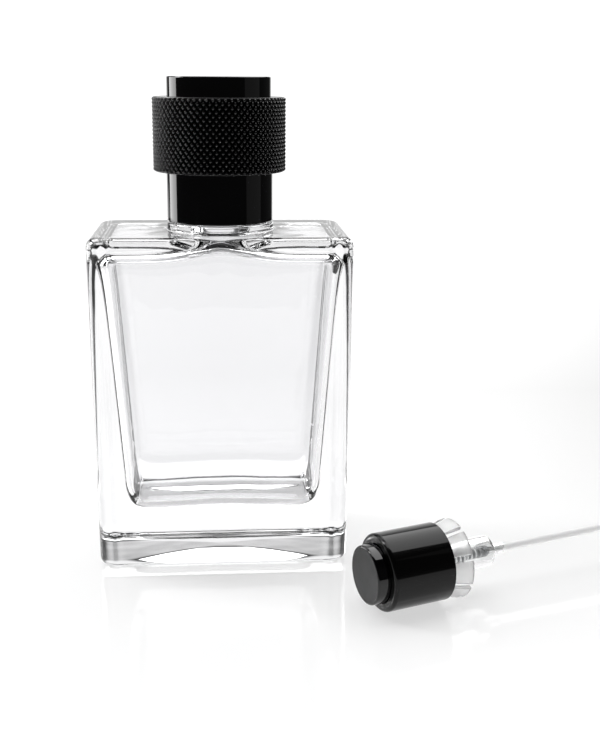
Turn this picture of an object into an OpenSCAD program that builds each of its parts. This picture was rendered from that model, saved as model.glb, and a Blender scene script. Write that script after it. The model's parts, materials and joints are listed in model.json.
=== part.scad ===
// A square, heavy glass fragrance bottle with a knurled slip-on cap, and its own push-on spray
// pump laid on the ground beside it. Millimetres, +Z up, +X right, +Y back.
// The origin is the centre of the bottle's base.
// The pump is drawn upright, as it stands on the neck: Z = 0 is the top face of the neck.
// laid_pump() then lays it down beside the bottle.

/* [Glass bottle] */
// Width of the glass body at the shoulder
body_w = 64; // [56:1:80]
// Depth of the glass body at the shoulder
body_d = 38; // [34:1:50]
// Height of the glass body, from the base to the shoulder
body_h = 84; // [70:1:104]
// Radius of the upright edges
corner_r = 4; // [3:0.25:6]
// Radius of the base and shoulder edges
edge_r = 2.5; // [1:0.25:2.75]
// How far each side leans in between the shoulder and the base
draft = 0.45; // [0:0.05:1]
// Thickness of the glass floor
floor_t = 14; // [8:1:20]
// Thickness of the glass shoulder
shoulder_t = 4.1; // [3:0.1:8]
// Glass wall at the top of the cavity
wall_high = 3; // [2.4:0.1:4.5]
// Glass wall beside the cavity's floor, left and right
wall_low_x = 7; // [5:0.5:10]
// Glass wall beside the cavity's floor, front and back
wall_low_y = 6.5; // [5:0.5:10]
// Radius of the cavity's upright and floor edges
cavity_r = 4; // [3:0.25:5]
// Radius of the edge between the cavity's ceiling and its walls
ceiling_r = 2.7; // [1.5:0.1:3]
// How far the cavity's ceiling rises under the neck
hump_h = 2; // [0:0.1:2.2]

/* [Neck] */
// Radius of the round step that the cap stands over
step_r = 13.25; // [12:0.25:15]
// Height of the round step
step_h = 2.1; // [1:0.1:4]
// Height of the neck above the step
neck_h = 9.4; // [8.6:0.2:12]
// Radius of the bead that the pump snaps under
bead_r = 7.4; // [7:0.05:7.45]
// Height of the bead
bead_h = 3.8; // [2.5:0.1:4]
// Radius of the neck below the bead
neck_r = 6.5; // [6:0.1:6.7]
// Radius of the bore through the neck
bore_r = 4.9; // [4.2:0.1:5.2]

/* [Cap] */
// Radius of the cap below its knurled ring
cap_r = 13.15; // [12.9:0.05:14.5]
// Radius of the cap inside and above its knurled ring
crown_r = 12.75; // [12.5:0.05:12.85]
// Radius of the knurled ring
ring_r = 16.4; // [14.5:0.1:18]
// Height of the plain cap below the ring
skirt_h = 12.1; // [8:0.1:16]
// Height of the knurled ring
ring_h = 17.85; // [14:0.05:22]
// Height of the crown above the ring
crown_h = 4.8; // [3:0.1:8]
// Wall of the cap
cap_wall = 1.4; // [1:0.1:1.6]
// Thickness of the cap's top
cap_top_t = 2.2; // [1.5:0.1:3]
// Thickness of the steel weight under the cap's top
weight_t = 4; // [2:0.5:6]
// Wall of the liner's tube
liner_wall = 0.9; // [0.7:0.1:1]
// Thickness of the liner's top
liner_top_t = 1; // [0.8:0.1:1.5]
// Number of ribs that grip the pump's collar
rib_n = 6; // [3:1:12]
// Width of a grip rib
rib_w = 1.2; // [0.8:0.1:2]

/* [Pump collar] */
// Radius of the collar
collar_r = 9.3; // [9.2:0.05:9.6]
// Length of the collar
collar_len = 15.95; // [15:0.05:18]
// How far the collar slides down to lock the pump
lock_travel = 4.84; // [4:0.02:5]
// Wall of the collar's shell
shell_wall = 0.35; // [0.3:0.05:0.45]
// Wall of the sleeve inside the shell
sleeve_wall = 0.4; // [0.3:0.05:0.4]
// Radius of the collar's rounded shoulder
collar_round = 1.3; // [0.6:0.1:1.5]

/* [Snap fingers] */
// Radius over the open fingers' tips
tip_r = 9.6; // [9.4:0.05:9.9]
// Radius over the fastener's ring
fastener_r = 8.05; // [7.95:0.05:8.1]
// Wall of the fastener's ring
fastener_wall = 0.6; // [0.5:0.05:0.6]
// Width of the slots between the fingers
slot_w = 1.5; // [1.3:0.1:2]
// Level of the fingers' roots below the top of the neck
root_depth = 1; // [0.6:0.1:1.5]

/* [Button] */
// Radius of the button
button_r = 7.05; // [6.6:0.05:7.2]
// How far the button stands out of the raised collar
button_out = 3.15; // [2.5:0.05:5]
// Wall of the button
button_wall = 1; // [0.8:0.1:1.4]
// Travel of the button
stroke = 4; // [3:0.1:4.2]
// Radius of the spray insert
insert_r = 1.5; // [1.2:0.1:1.6]
// Depth of the spray insert
insert_t = 1.8; // [1.4:0.1:2.4]
// Distance of the spray hole below the button's top
insert_drop = 2.15; // [2.15:0.05:2.6]
// Direction of the spray hole about the pump's axis, in degrees
insert_turn = 105; // [0:5:355]

/* [Pump engine] */
// Radius of the pump housing
housing_r = 3.75; // [3.6:0.05:4]
// Radius of the piston's bore
cylinder_r = 2.9; // [2.8:0.05:3]
// Radius of the spring's chamber
chamber_r = 2.25; // [2.2:0.05:2.4]
// How far the housing reaches below the finger tips
housing_out = 9.8; // [9.5:0.1:13]
// Length of the tail that holds the dip tube
tail_len = 4; // [3:0.1:6]
// Radius of the stem
stem_r = 1.5; // [1.4:0.05:1.6]
// Radius over the spring
spring_r = 2.05; // [1.95:0.05:2.1]
// Radius of the spring's wire
wire_r = 0.25; // [0.2:0.01:0.26]
// Turns of the spring
spring_turns = 10; // [7:1:12]
// Radius of the inlet ball
ball_r = 1.1; // [1:0.05:1.2]
// Radius of the dip tube
tube_r = 0.95; // [0.85:0.05:1]
// Wall of the dip tube
tube_wall = 0.3; // [0.2:0.05:0.35]
// Gap between the dip tube's tip and the glass floor when the pump is fitted
tube_gap = 1; // [0.5:0.5:4]

/* [Lying pump] */
// Place of the collar's open rim, left to right
pump_x = 35.4; // [34:0.1:60]
// Place of the collar's open rim, front to back
pump_y = -44.1; // [-70:0.1:-40]
// Direction that the lying pump's tube points, in degrees
pump_turn = 19.5; // [0:0.5:40]

/* [Hidden] */

press_gap = 0.02;   // between pieces pressed or glued together
run_gap = 0.06;     // around a piece that slides or turns in another
loose_gap = 0.15;   // around the button in the collar's mouth
seat_gap = 0.2;     // between the cap and the step that it stands over
collar_gap = 0.5;   // between the locked collar and the step
grip_gap = 0.08;    // between the cap's grip ribs and the collar
finger_n = 8;
over = 1;           // how far a cutting shape stands out of the piece that it cuts
reach = 20;         // longer than any radius of the pump
round_n = 6;        // straight stretches in a rounded edge
hull_fn = 32;
hump_n = 8;         // straight stretches in each half of the ceiling's hump

glass_c = [0.82, 0.88, 0.9, 0.4];
black_c = [0.05, 0.05, 0.05];
ring_c = [0.1, 0.1, 0.1];
clear_c = [0.9, 0.92, 0.93, 0.55];
milky_c = [0.93, 0.93, 0.9];
steel_c = [0.68, 0.68, 0.7];

// Levels of the bottle and the cap
step_z = body_h + step_h;
neck_z = step_z + neck_h;
cavity_z1 = body_h - shoulder_t;
cap_z0 = step_z + seat_gap;
ring_z0 = cap_z0 + skirt_h;
ring_z1 = ring_z0 + ring_h;
cap_z1 = ring_z1 + crown_h;
weight_z1 = cap_z1 - cap_top_t - press_gap;
liner_z1 = weight_z1 - weight_t - press_gap;
liner_flange_r = crown_r - cap_wall - press_gap;
liner_grip_r = collar_r + grip_gap;
rib_depth = 0.5;
liner_r = liner_grip_r + rib_depth + liner_wall;
liner_z0 = cap_z0 + 0.6;

// Levels of the upright pump, from the top of the neck
tip_z = collar_gap - neck_h;
collar_z0 = tip_z + lock_travel;
collar_z1 = collar_z0 + collar_len;
mouth_r = button_r + loose_gap;
sleeve_r = collar_r - shell_wall - press_gap;
gasket_t = 0.8;
flange_t = 1;
plate_t = 1.1;
flange_z = gasket_t + flange_t;
plate_z = flange_z + plate_t;
flange_r = bead_r - 0.5;
button_z1 = collar_z1 + button_out;
button_z0 = plate_z + stroke + 0.5;
button_roof = 0.9;
insert_z = button_z1 - insert_drop;
insert_sink = 0.25;
boss_r = stem_r + 1.1;
socket_depth = 3.2;
housing_z0 = tip_z - housing_out;
spring_z0 = housing_z0 + 0.4;
tail_z0 = housing_z0 - tail_len;
guide_z0 = -0.5;
piston_len = 4.4;
piston_z1 = guide_z0 - 0.3;
piston_z0 = piston_z1 - piston_len;
thrust_t = 0.6;
thrust_z0 = piston_z0 - thrust_t;
spigot_len = 2;
spigot_r = spring_r - 2 * wire_r - 0.25;
seat_r0 = tube_r - tube_wall;
seat_r1 = ball_r + 0.45;
seat_z0 = spring_z0 - (seat_r1 - seat_r0);
ball_z = seat_z0 - seat_r0 + (ball_r + press_gap) * sqrt(2);
socket_z = seat_z0 - 0.4;
tube_z0 = -(neck_z - floor_t - tube_gap);

// The pump rests on its collar's shoulder end and on its open finger tips
rest_z = collar_z1 - collar_round;
tip_flat_z = tip_z + 0.3;
tilt = atan((tip_r - collar_r) / (rest_z - tip_flat_z));
pump_at = [pump_x + collar_z1 * cos(tilt) * cos(pump_turn),
           pump_y + collar_z1 * cos(tilt) * sin(pump_turn),
           collar_r * cos(tilt) + rest_z * sin(tilt)];

module laid_pump() translate(pump_at) rotate([0, -90 - tilt, pump_turn]) children();

// Points on an arc in a profile, from angle a0 to a1
function arc(x, y, r, a0, a1) =
    [for (i = [0:round_n]) let (a = a0 + (a1 - a0) * i / round_n) [x + r * cos(a), y + r * sin(a)]];

// A round tube between two levels
module tube(r_out, r_in, z0, z1) {
    translate([0, 0, z0]) difference() {
        cylinder(r = r_out, h = z1 - z0);
        translate([0, 0, -over]) cylinder(r = r_in, h = z1 - z0 + 2 * over);
    }
}

// A round post with rounded ends, used as one corner of a hull
module post(r, e, z0, z1) {
    rotate_extrude($fn = hull_fn)
        polygon(concat([[0, z0]], arc(r - e, z0 + e, e, -90, 0), arc(r - e, z1 - e, e, 0, 90), [[0, z1]]));
}

module four_corners(w, d) {
    for (x = [-1, 1], y = [-1, 1]) translate([x * w / 2, y * d / 2, 0]) children();
}

// ---- Bottle ----

module glass_body() {
    low_w = body_w - 2 * draft - 2 * corner_r;
    low_d = body_d - 2 * draft - 2 * corner_r;
    hull() {
        four_corners(low_w, low_d) post(corner_r, edge_r, 0, 2 * edge_r);
        four_corners(body_w - 2 * corner_r, body_d - 2 * corner_r)
            post(corner_r, edge_r, body_h - 2 * edge_r, body_h);
    }
}

module glass_cavity() {
    high_w = body_w - 2 * wall_high - 2 * cavity_r;
    high_d = body_d - 2 * wall_high - 2 * cavity_r;
    low_w = body_w - 2 * wall_low_x - 2 * cavity_r;
    low_d = body_d - 2 * wall_low_y - 2 * cavity_r;
    hull() {
        four_corners(low_w, low_d) post(cavity_r, cavity_r, floor_t, floor_t + 2 * cavity_r);
        four_corners(high_w, high_d) post(cavity_r, ceiling_r, cavity_z1 - 2 * cavity_r, cavity_z1);
    }
}

// The wave in the cavity's ceiling, which runs from front to back
module ceiling_hump() {
    half_w = body_w / 4;
    depth = body_d - 2 * wall_high - 2 * ceiling_r;
    wave = [for (i = [-hump_n:hump_n]) [half_w * i / hump_n, hump_h * (1 + cos(180 * i / hump_n)) / 2]];
    translate([0, depth / 2, cavity_z1]) rotate([90, 0, 0]) linear_extrude(depth)
        polygon(concat(wave, [[half_w, -ceiling_r / 2], [-half_w, -ceiling_r / 2]]));
}

module neck_finish() {
    bead_z = neck_z - bead_h;
    lip = 0.6;
    step_edge = 0.5;
    rotate_extrude()
        polygon(concat([[0, body_h - over], [step_r, body_h - over]],
                       arc(step_r - step_edge, step_z - step_edge, step_edge, 0, 90),
                       [[neck_r, step_z], [neck_r, bead_z - (bead_r - neck_r)], [bead_r, bead_z]],
                       arc(bead_r - lip, neck_z - lip, lip, 0, 90),
                       [[0, neck_z]]));
}

module glass_bottle() color(glass_c) difference() {
    union() {
        glass_body();
        neck_finish();
    }
    glass_cavity();
    ceiling_hump();
    translate([0, 0, cavity_z1 - over]) cylinder(r = bore_r, h = neck_z - cavity_z1 + 2 * over);
}

// ---- Cap ----

module cap_shell() color(black_c) {
    edge = 0.4;
    rotate_extrude()
        polygon(concat([[cap_r - cap_wall, cap_z0], [cap_r - edge / 2, cap_z0], [cap_r, cap_z0 + edge / 2],
                        [cap_r, ring_z0], [crown_r, ring_z0]],
                       arc(crown_r - edge, cap_z1 - edge, edge, 0, 90),
                       [[0, cap_z1], [0, cap_z1 - cap_top_t], [crown_r - cap_wall, cap_z1 - cap_top_t],
                        [crown_r - cap_wall, ring_z0 - 1], [cap_r - cap_wall, ring_z0 - 1 - cap_wall]]));
}

module knurled_ring() color(ring_c) {
    edge = 0.5;
    bore = crown_r + press_gap;
    rotate_extrude()
        polygon(concat([[bore, ring_z0 + press_gap], [ring_r - edge, ring_z0 + press_gap]],
                       arc(ring_r - edge, ring_z0 + press_gap + edge, edge, -90, 0),
                       arc(ring_r - edge, ring_z1 - edge, edge, 0, 90),
                       [[bore, ring_z1]]));
}

module cap_weight() color(steel_c)
    tube(crown_r - cap_wall - run_gap, 2, weight_z1 - weight_t, weight_z1);

module cap_liner() color(milky_c) {
    difference() {
        union() {
            translate([0, 0, liner_z0]) cylinder(r = liner_r, h = liner_z1 - liner_z0);
            translate([0, 0, liner_z1 - liner_top_t]) cylinder(r = liner_flange_r, h = liner_top_t);
        }
        translate([0, 0, liner_z0 - over])
            cylinder(r = liner_r - liner_wall, h = liner_z1 - liner_top_t - liner_z0 + over);
    }
    for (i = [0:rib_n - 1]) rotate([0, 0, 360 * i / rib_n])
        translate([liner_grip_r, -rib_w / 2, liner_z0 + 1.5])
            cube([rib_depth + liner_wall / 2, rib_w, liner_z1 - liner_top_t / 2 - liner_z0 - 1.5]);
}

// ---- Pump: collar ----

module collar_shell() color(black_c) laid_pump() {
    rotate_extrude()
        polygon(concat([[collar_r - shell_wall, collar_z0], [collar_r, collar_z0]],
                       arc(collar_r - collar_round, collar_z1 - collar_round, collar_round, 0, 90),
                       [[mouth_r, collar_z1], [mouth_r, collar_z1 - shell_wall]],
                       arc(collar_r - collar_round, collar_z1 - collar_round,
                           collar_round - shell_wall, 90, 0)));
}

module collar_sleeve() color(milky_c) laid_pump() {
    lead = 0.3;
    top = collar_z1 - collar_round - shell_wall;
    inner = sleeve_r - sleeve_wall;
    rotate_extrude()
        polygon([[inner + lead / 2, collar_z0 + 0.1], [sleeve_r, collar_z0 + 0.1], [sleeve_r, top],
                 [mouth_r + 0.1, top], [mouth_r + 0.1, top - 1], [inner, top - 1.6],
                 [inner, collar_z0 + 0.1 + lead]]);
}

// ---- Pump: clear fastener and its snap fingers ----

module fastener_ring() color(clear_c) laid_pump() {
    tube(fastener_r, fastener_r - fastener_wall, -root_depth, flange_z);
    tube(fastener_r, cylinder_r + 0.3, flange_z + press_gap, plate_z);
    tube(fastener_r, flange_r + press_gap, flange_z - 0.5, flange_z + plate_t / 2);
}

// Thin at the root, flared and thick at the tip, with a hook that catches under the bead
module snap_finger(i) color(clear_c) laid_pump() {
    root_z = -root_depth - 0.03;
    hook_z = -bead_h - 0.5;
    root_in = fastener_r - fastener_wall;
    hook_r = bead_r + 0.25;
    tip_t = 1.1;
    half = 180 / finger_n;
    rotate([0, 0, (i - 1) * 360 / finger_n]) difference() {
        intersection() {
            rotate_extrude()
                polygon([[root_in, root_z], [root_in + 0.1, hook_z + 0.3], [hook_r, hook_z],
                         [hook_r + 0.1, hook_z - 1.2], [tip_r - tip_t, tip_z], [tip_r - 0.3, tip_z],
                         [tip_r, tip_flat_z], [tip_r - 0.15, tip_z + 1.4], [fastener_r + 0.1, -3.4],
                         [fastener_r, root_z]]);
            translate([0, 0, tip_z - over]) linear_extrude(-tip_z + over)
                polygon([[0, 0], [reach, -reach * tan(half)], [reach, reach * tan(half)]]);
        }
        for (side = [-1, 1]) rotate([0, 0, side * half])
            translate([0, -slot_w / 2, tip_z - over]) cube([reach, slot_w, -tip_z + over]);
    }
}

// ---- Pump: engine ----

module neck_gasket() color(milky_c) laid_pump()
    tube(flange_r, housing_r + press_gap, 0, gasket_t - press_gap);

module pump_housing() color(clear_c) laid_pump() {
    round = 0.9;
    tail_r0 = tube_r + 0.6;
    tail_r1 = tube_r + 0.25;
    difference() {
        union() {
            rotate_extrude()
                polygon(concat([[0, housing_z0]],
                               arc(housing_r - round, housing_z0 + round, round, -90, 0),
                               [[housing_r, gasket_t], [flange_r, gasket_t], [flange_r, flange_z], [0, flange_z]]));
            translate([0, 0, tail_z0]) cylinder(r1 = tail_r1, r2 = tail_r0, h = tail_len + 0.5);
        }
        rotate_extrude()
            polygon([[0, seat_z0], [seat_r0, seat_z0], [seat_r1, spring_z0], [chamber_r, spring_z0],
                     [chamber_r, thrust_z0 - stroke - 2], [cylinder_r, thrust_z0 - stroke - 1.2],
                     [cylinder_r, flange_z + over], [0, flange_z + over]]);
        translate([0, 0, socket_z - over / 2]) cylinder(r = seat_r0, h = seat_z0 - socket_z + over);
        translate([0, 0, tail_z0 - over]) cylinder(r = tube_r + press_gap, h = socket_z - tail_z0 + over);
    }
}

module stem_guide() color(milky_c) laid_pump() {
    tube(cylinder_r - press_gap, stem_r + run_gap, guide_z0, flange_z + 0.1);
    tube(cylinder_r + 0.3 - press_gap, stem_r + run_gap, flange_z + press_gap, plate_z);
}

module pump_stem() color(milky_c) laid_pump() {
    port_z = piston_z0 + 0.6;
    port_r = 0.6;
    difference() {
        union() {
            translate([0, 0, thrust_z0]) cylinder(r = stem_r, h = button_z0 + socket_depth - thrust_z0);
            translate([0, 0, thrust_z0]) cylinder(r = spring_r, h = thrust_t - press_gap);
            translate([0, 0, thrust_z0 - spigot_len]) cylinder(r = spigot_r, h = spigot_len + 0.3);
        }
        translate([0, 0, port_z]) cylinder(r = port_r, h = button_z0 + socket_depth - port_z + over);
    }
}

module piston() color(milky_c) laid_pump() {
    wide = cylinder_r - run_gap / 2;
    waist = cylinder_r - 0.5;
    inner = stem_r + press_gap;
    lip = 0.8;
    rotate_extrude()
        polygon([[inner, piston_z0], [waist, piston_z0], [wide, piston_z0 + 0.1], [wide, piston_z0 + lip],
                 [waist, piston_z0 + 2 * lip], [waist, piston_z1 - 2 * lip], [wide, piston_z1 - lip],
                 [wide, piston_z1], [inner, piston_z1]]);
}

// A round wire wound from the thrust collar down to the ledge over the inlet ball
module return_spring() color(steel_c) laid_pump() {
    sides = 6;
    per_turn = 14;
    rings = spring_turns * per_turn;
    mean_r = spring_r - wire_r;
    low = spring_z0 + wire_r + press_gap;
    high = thrust_z0 - wire_r - press_gap;
    points = [for (i = [0:rings], k = [0:sides - 1])
        let (turn = 360 * i / per_turn,
             around = 360 * k / sides,
             out = mean_r + wire_r * cos(around),
             up = low + (high - low) * i / rings + wire_r * sin(around))
        [out * cos(turn), out * sin(turn), up]];
    walls = [for (i = [0:rings - 1], k = [0:sides - 1])
        let (next = (k + 1) % sides, here = i * sides, there = here + sides)
        [here + k, there + k, there + next, here + next]];
    first_end = [for (k = [0:sides - 1]) k];
    last_end = [for (k = [sides - 1:-1:0]) rings * sides + k];
    polyhedron(points = points, faces = concat([first_end], walls, [last_end]));
}

module inlet_ball() color(steel_c) laid_pump()
    translate([0, 0, ball_z]) sphere(r = ball_r);

module dip_tube() color(milky_c) laid_pump() {
    cut = 5;
    difference() {
        tube(tube_r, tube_r - tube_wall, tube_z0, socket_z - press_gap);
        translate([0, 0, tube_z0]) rotate([0, 35, 0]) translate([-cut, -cut, -2 * cut]) cube(2 * cut);
    }
}

// ---- Pump: button ----

module spray_button() color(black_c) laid_pump() {
    edge = 0.5;
    channel_r = 0.5;
    duct_w = 2 * insert_r + 1;
    duct_z0 = insert_z - insert_r - 0.5;
    inner = button_r - button_wall;
    roof_z = button_z1 - button_roof;
    difference() {
        union() {
            difference() {
                rotate_extrude()
                    polygon(concat([[0, button_z0], [button_r, button_z0]],
                                   arc(button_r - edge, button_z1 - edge, edge, 0, 90),
                                   [[0, button_z1]]));
                tube(inner, boss_r, button_z0 - over, roof_z);
            }
            rotate([0, 0, insert_turn]) translate([boss_r / 2, -duct_w / 2, duct_z0])
                cube([button_r - 0.5 * button_wall - boss_r / 2 - 0.4, duct_w, roof_z - duct_z0 + 0.1]);
        }
        translate([0, 0, button_z0 - over])
            cylinder(r = stem_r + press_gap, h = socket_depth + over + press_gap);
        translate([0, 0, button_z0 + socket_depth - 0.5])
            cylinder(r = channel_r, h = insert_z - button_z0 - socket_depth + 0.5);
        translate([0, 0, insert_z]) rotate([0, 90, insert_turn]) cylinder(r = channel_r, h = button_r - 1);
        translate([0, 0, insert_z]) rotate([0, 90, insert_turn])
            translate([0, 0, button_r - insert_sink - insert_t - press_gap])
                cylinder(r = insert_r + press_gap, h = insert_t + 2 * over);
    }
}

module spray_insert() color(black_c) laid_pump() {
    face = 0.3;
    translate([0, 0, insert_z]) rotate([0, 90, insert_turn])
        translate([0, 0, button_r - insert_sink - insert_t]) difference() {
            cylinder(r = insert_r, h = insert_t);
            translate([0, 0, -over]) cylinder(r = 0.5, h = insert_t - face);
            cylinder(r = 0.2, h = insert_t + over);
            translate([0, 0, insert_t - face]) cylinder(r1 = 0.25, r2 = 0.75, h = face + 0.01);
        }
}

glass_bottle();
cap_shell();
knurled_ring();
cap_weight();
cap_liner();
collar_shell();
collar_sleeve();
fastener_ring();
snap_finger(1);  // snap_finger_1
snap_finger(2);  // snap_finger_2
snap_finger(3);  // snap_finger_3
snap_finger(4);  // snap_finger_4
snap_finger(5);  // snap_finger_5
snap_finger(6);  // snap_finger_6
snap_finger(7);  // snap_finger_7
snap_finger(8);  // snap_finger_8
neck_gasket();
pump_housing();
stem_guide();
pump_stem();
piston();
return_spring();
inlet_ball();
dip_tube();
spray_button();
spray_insert();
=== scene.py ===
"""Looks for a square glass fragrance bottle, its knurled cap and the spray pump lying beside it.

Run as a script in Blender 4.5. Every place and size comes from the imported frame, in metres.
"""

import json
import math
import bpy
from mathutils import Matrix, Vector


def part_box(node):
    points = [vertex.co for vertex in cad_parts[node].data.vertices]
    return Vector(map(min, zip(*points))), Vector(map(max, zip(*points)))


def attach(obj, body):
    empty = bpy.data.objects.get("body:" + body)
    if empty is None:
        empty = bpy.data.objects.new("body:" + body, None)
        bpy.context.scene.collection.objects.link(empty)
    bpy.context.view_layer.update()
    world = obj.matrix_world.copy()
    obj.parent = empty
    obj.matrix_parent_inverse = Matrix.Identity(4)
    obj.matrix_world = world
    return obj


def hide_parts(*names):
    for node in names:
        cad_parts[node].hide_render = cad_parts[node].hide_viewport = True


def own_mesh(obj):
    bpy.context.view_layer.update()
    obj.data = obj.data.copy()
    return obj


bl_info = {
    "name": "Glass fragrance bottle",
    "version": (1, 0, 0),
    "blender": (4, 5, 0),
    "location": "3D View > Sidebar > Bottle",
    "description": "Builds the glass, cap, knurl, pump and finishes of a square fragrance bottle",
    "category": "Object",
}

import bmesh
import bpy
from bpy.props import FloatProperty, IntProperty, PointerProperty
from mathutils import Matrix, Vector

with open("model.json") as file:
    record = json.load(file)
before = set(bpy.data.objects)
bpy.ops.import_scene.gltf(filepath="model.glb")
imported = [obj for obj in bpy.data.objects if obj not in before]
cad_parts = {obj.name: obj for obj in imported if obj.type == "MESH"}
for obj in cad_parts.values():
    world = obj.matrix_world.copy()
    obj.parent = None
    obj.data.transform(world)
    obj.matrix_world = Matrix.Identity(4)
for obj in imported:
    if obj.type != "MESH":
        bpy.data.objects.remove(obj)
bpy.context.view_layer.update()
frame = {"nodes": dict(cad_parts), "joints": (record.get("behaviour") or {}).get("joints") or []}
MM = 0.001
ARC_STEPS = 6
SUPPORT = 0.03 * MM
PRESS_GAP = 0.02 * MM
RING_SEGMENTS = 192
SMALL_SEGMENTS = 96


# ---- Frame ----

def joint(name):
    """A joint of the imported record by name."""
    return next(j for j in frame["joints"] if j["name"] == name)


def pump_frame():
    """The pump's own axes: Z along its stem towards the button, Y across its first finger."""
    stem = joint("button_turn")
    along = Vector(stem["axis"]).normalized()
    side = Vector(joint("finger_1_bend")["axis"]).normalized()
    turn = Matrix((side.cross(along), side, along)).transposed().to_4x4()
    turn.translation = Vector(stem["pos_m"])
    return turn


class Span:
    """How far a CAD node reaches along and out from an axis."""

    def __init__(self, node, place):
        local = place.inverted()
        points = [local @ v.co for v in frame["nodes"][node].data.vertices]
        radii = [math.hypot(p.x, p.y) for p in points]
        self.low = min(p.z for p in points)
        self.high = max(p.z for p in points)
        self.outer = max(radii)
        self.inner = min(radii)


UPRIGHT = Matrix.Identity(4)
PUMP = pump_frame()


# ---- Meshes ----

def rounded(corners, closed=True):
    """An outline whose corners (x, y, radius) are turned into arcs, each with a close neighbour on
    its flats, so that smooth shading keeps the flats flat."""
    points = []
    count = len(corners)
    for i, (x, y, radius) in enumerate(corners):
        here = Vector((x, y))
        if radius <= 0 or (not closed and i in (0, count - 1)):
            points.append(here)
            continue
        before = Vector(corners[i - 1][:2]) - here
        after = Vector(corners[(i + 1) % count][:2]) - here
        half = before.angle(after) / 2
        reach = min(radius / math.tan(half), 0.45 * before.length, 0.45 * after.length)
        radius = reach * math.tan(half)
        before.normalize()
        after.normalize()
        centre = here + (before + after).normalized() * (radius / math.sin(half))
        start = here + before * reach - centre
        sweep = start.angle_signed(here + after * reach - centre)
        points.append(here + before * (reach + SUPPORT))
        for k in range(ARC_STEPS + 1):
            points.append(centre + Matrix.Rotation(-sweep * k / ARC_STEPS, 2) @ start)
        points.append(here + after * (reach + SUPPORT))
    return points


def skin(bm, rings, closed):
    """Faces between neighbouring rings of vertices; a ring of one vertex is a pole."""
    pairs = list(zip(rings, rings[1:]))
    if closed:
        pairs.append((rings[-1], rings[0]))
    for a, b in pairs:
        count = max(len(a), len(b))
        if len(a) == len(b) == 1:
            continue
        for k in range(count):
            quad = [a[k % len(a)], a[(k + 1) % len(a)], b[(k + 1) % len(b)], b[k % len(b)]]
            bm.faces.new(list(dict.fromkeys(quad)))


def mesh_object(name, bm, material, place=UPRIGHT, sharp=math.radians(50)):
    """A new piece from a bmesh, with its place in its mesh and its faces pointing out."""
    bmesh.ops.recalc_face_normals(bm, faces=bm.faces)
    bm.transform(place)
    mesh = bpy.data.meshes.new(name)
    bm.to_mesh(mesh)
    bm.free()
    mesh.shade_smooth()
    mesh.set_sharp_from_angle(angle=sharp)
    mesh.materials.append(material)
    piece = bpy.data.objects.new(name, mesh)
    bpy.context.scene.collection.objects.link(piece)
    return piece


def lathe(name, outline, material, place=UPRIGHT, segments=RING_SEGMENTS):
    """A turned piece. An outline that starts and ends on the axis is solid, any other is a tube."""
    bm = bmesh.new()
    rings = []
    for point in outline:
        if abs(point.x) < 1e-7:
            rings.append([bm.verts.new((0, 0, point.y))])
        else:
            steps = [2 * math.pi * k / segments for k in range(segments)]
            rings.append([bm.verts.new((point.x * math.cos(a), point.x * math.sin(a), point.y))
                          for a in steps])
    solid = len(rings[0]) == 1 and len(rings[-1]) == 1
    skin(bm, rings, closed=not solid)
    return mesh_object(name, bm, material, place)


def fasten(piece, body, slot, *nodes):
    """Says which body a piece moves with and which CAD nodes it stands for, and hides those nodes; slot, the
    finish's name, is not used.
    """
    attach(piece, body)
    if nodes:
        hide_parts(*nodes)
    return piece


# ---- Materials ----

def linear(colour):
    """An sRGB hex value as linear RGBA."""
    values = [int(colour[i:i + 2], 16) / 255 for i in (1, 3, 5)]
    return [v / 12.92 if v <= 0.04045 else ((v + 0.055) / 1.055) ** 2.4 for v in values] + [1.0]


def add(tree, kind, inputs=None, **settings):
    """Adds one node, sets it up, and fills or links its inputs."""
    node = tree.nodes.new(kind)
    for key, value in settings.items():
        setattr(node, key, value)
    for key, value in (inputs or {}).items():
        if isinstance(value, bpy.types.NodeSocket):
            tree.links.new(value, node.inputs[key])
        else:
            node.inputs[key].default_value = value
    return node


def finish(name, constants):
    """A material with one principled shader and its constants set on the shader."""
    material = bpy.data.materials.new(name)
    material.use_nodes = True
    tree = material.node_tree
    tree.nodes.clear()
    shader = add(tree, "ShaderNodeBsdfPrincipled", constants)
    add(tree, "ShaderNodeOutputMaterial", {"Surface": shader.outputs["BSDF"]})
    return material, tree, shader


def relief(tree, shader, size, height, detail=3.0):
    """Bumps of a real size and height, in metres, on object coordinates."""
    where = add(tree, "ShaderNodeTexCoord")
    noise = add(tree, "ShaderNodeTexNoise",
                {"Vector": where.outputs["Object"], "Scale": 1 / size, "Detail": detail, "Roughness": 0.5})
    bump = add(tree, "ShaderNodeBump", {"Height": noise.outputs["Fac"], "Distance": height, "Strength": 1.0})
    tree.links.new(bump.outputs["Normal"], shader.inputs["Normal"])


def uneven(tree, shader, size, low, high):
    """A slow change in roughness, such as handling leaves."""
    where = add(tree, "ShaderNodeTexCoord")
    noise = add(tree, "ShaderNodeTexNoise",
                {"Vector": where.outputs["Object"], "Scale": 1 / size, "Detail": 4.0, "Roughness": 0.6})
    spread = add(tree, "ShaderNodeMapRange", {"Value": noise.outputs["Fac"], "From Min": 0.3,
                                              "From Max": 0.7, "To Min": low, "To Max": high})
    tree.links.new(spread.outputs["Result"], shader.inputs["Roughness"])


def clear_glass():
    """Fire-polished soda-lime glass, blown in a mould: a bright skin with slow waves from the mould."""
    material, tree, shader = finish("fire_polished_soda_lime_glass", {
        "Base Color": linear("#FAFAFB"), "Roughness": 0.0, "IOR": 1.52, "Transmission Weight": 1.0})
    relief(tree, shader, 9 * MM, 0.05 * MM, detail=1.0)
    return material


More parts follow.
